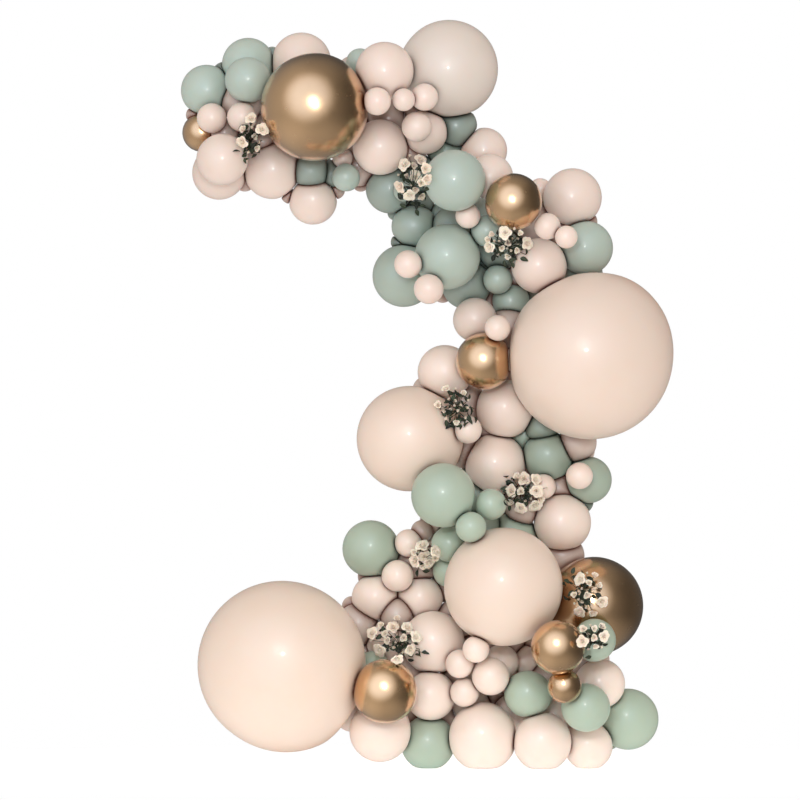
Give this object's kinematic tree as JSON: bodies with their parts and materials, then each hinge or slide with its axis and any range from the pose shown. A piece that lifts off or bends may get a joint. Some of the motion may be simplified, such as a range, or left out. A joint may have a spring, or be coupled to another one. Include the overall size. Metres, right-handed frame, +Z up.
{
  "type": "balloon garland",
  "caption": "Hook-shaped wall garland of round latex and chrome-finish balloons pressed together, with an arm at the top, a slim waist and a wide foot on the floor.",
  "frame": {"origin": "in the middle of the flat that the wall presses into the back of the big shoulder balloon, where the garland hangs", "axes": "+X to the right as seen from the front, +Y into the wall, +Z up; the wall is the plane y = 0 and the floor is the plane z = -2.455"},
  "size_m": [1.7273, 0.5621, 2.6251],
  "materials": {
    "latex_sage": "satin opaque latex, sage green",
    "latex_blush": "satin opaque latex, pale blush pink",
    "latex_peach": "satin opaque latex, pale peach",
    "latex_sand": "satin opaque latex, greyish sand",
    "chrome_gold": "mirror-like chrome-finish latex, warm gold",
    "rose_cream": "matt cloth petals, cream",
    "leaf_green": "matt cloth leaves, dark green"
  },
  "bodies": {
    "root": {"sage_tip_top": "latex_sage", "sage_tip_left": "latex_sage", "gold_tip": "chrome_gold", "blush_tip_back": "latex_blush", "blush_arm_top": "latex_blush", "blush_arm_hanging": "latex_blush", "sage_tip_front": "latex_sage", "blush_arm_middle": "latex_blush", "blush_tip_front": "latex_blush", "sand_shoulder_big": "latex_sand", "sage_shoulder_back": "latex_sage", "blush_shoulder_back": "latex_blush", "blush_shoulder_right": "latex_blush", "sage_shoulder_low": "latex_sage", "blush_shoulder_inner": "latex_blush", "blush_shoulder_top": "latex_blush", "blush_shoulder_left": "latex_blush", "gold_arm_big": "chrome_gold", "sage_shoulder_front": "latex_sage", "sage_bend_right": "latex_sage", "blush_bend_right": "latex_blush", "sage_bend_left": "latex_sage", "sage_bend_back": "latex_sage", "sage_bend_low": "latex_sage", "blush_bend_low": "latex_blush", "blush_bend_middle": "latex_blush", "gold_bend": "chrome_gold", "sage_bend_front": "latex_sage", "sage_waist_right": "latex_sage", "blush_waist_back": "latex_blush", "peach_waist_big": "latex_peach", "sage_waist_low": "latex_sage", "sage_waist_middle": "latex_sage", "blush_waist_front": "latex_blush", "blush_waist_middle": "latex_blush", "peach_waist_giant": "latex_peach", "gold_waist": "chrome_gold", "blush_waist_right": "latex_blush", "sage_waist_front": "latex_sage", "sage_waist_left": "latex_sage", "sage_foot_right": "latex_sage", "gold_foot_big": "chrome_gold", "sage_foot_posy": "latex_sage", "blush_foot_right": "latex_blush", "blush_foot_low_right": "latex_blush", "sage_foot_low": "latex_sage", "blush_foot_low_left": "latex_blush", "peach_foot_giant": "latex_peach", "blush_foot_left": "latex_blush", "blush_foot_upper": "latex_blush", "blush_foot_low_middle": "latex_blush", "blush_foot_low_inner": "latex_blush", "sage_foot_middle": "latex_sage", "sage_foot_low_right": "latex_sage", "blush_foot_inner": "latex_blush", "blush_foot_front": "latex_blush", "gold_foot_left": "chrome_gold", "peach_foot_big": "latex_peach", "gold_foot_front": "chrome_gold", "gold_foot_small": "chrome_gold"}
  },
  "joints": []
}
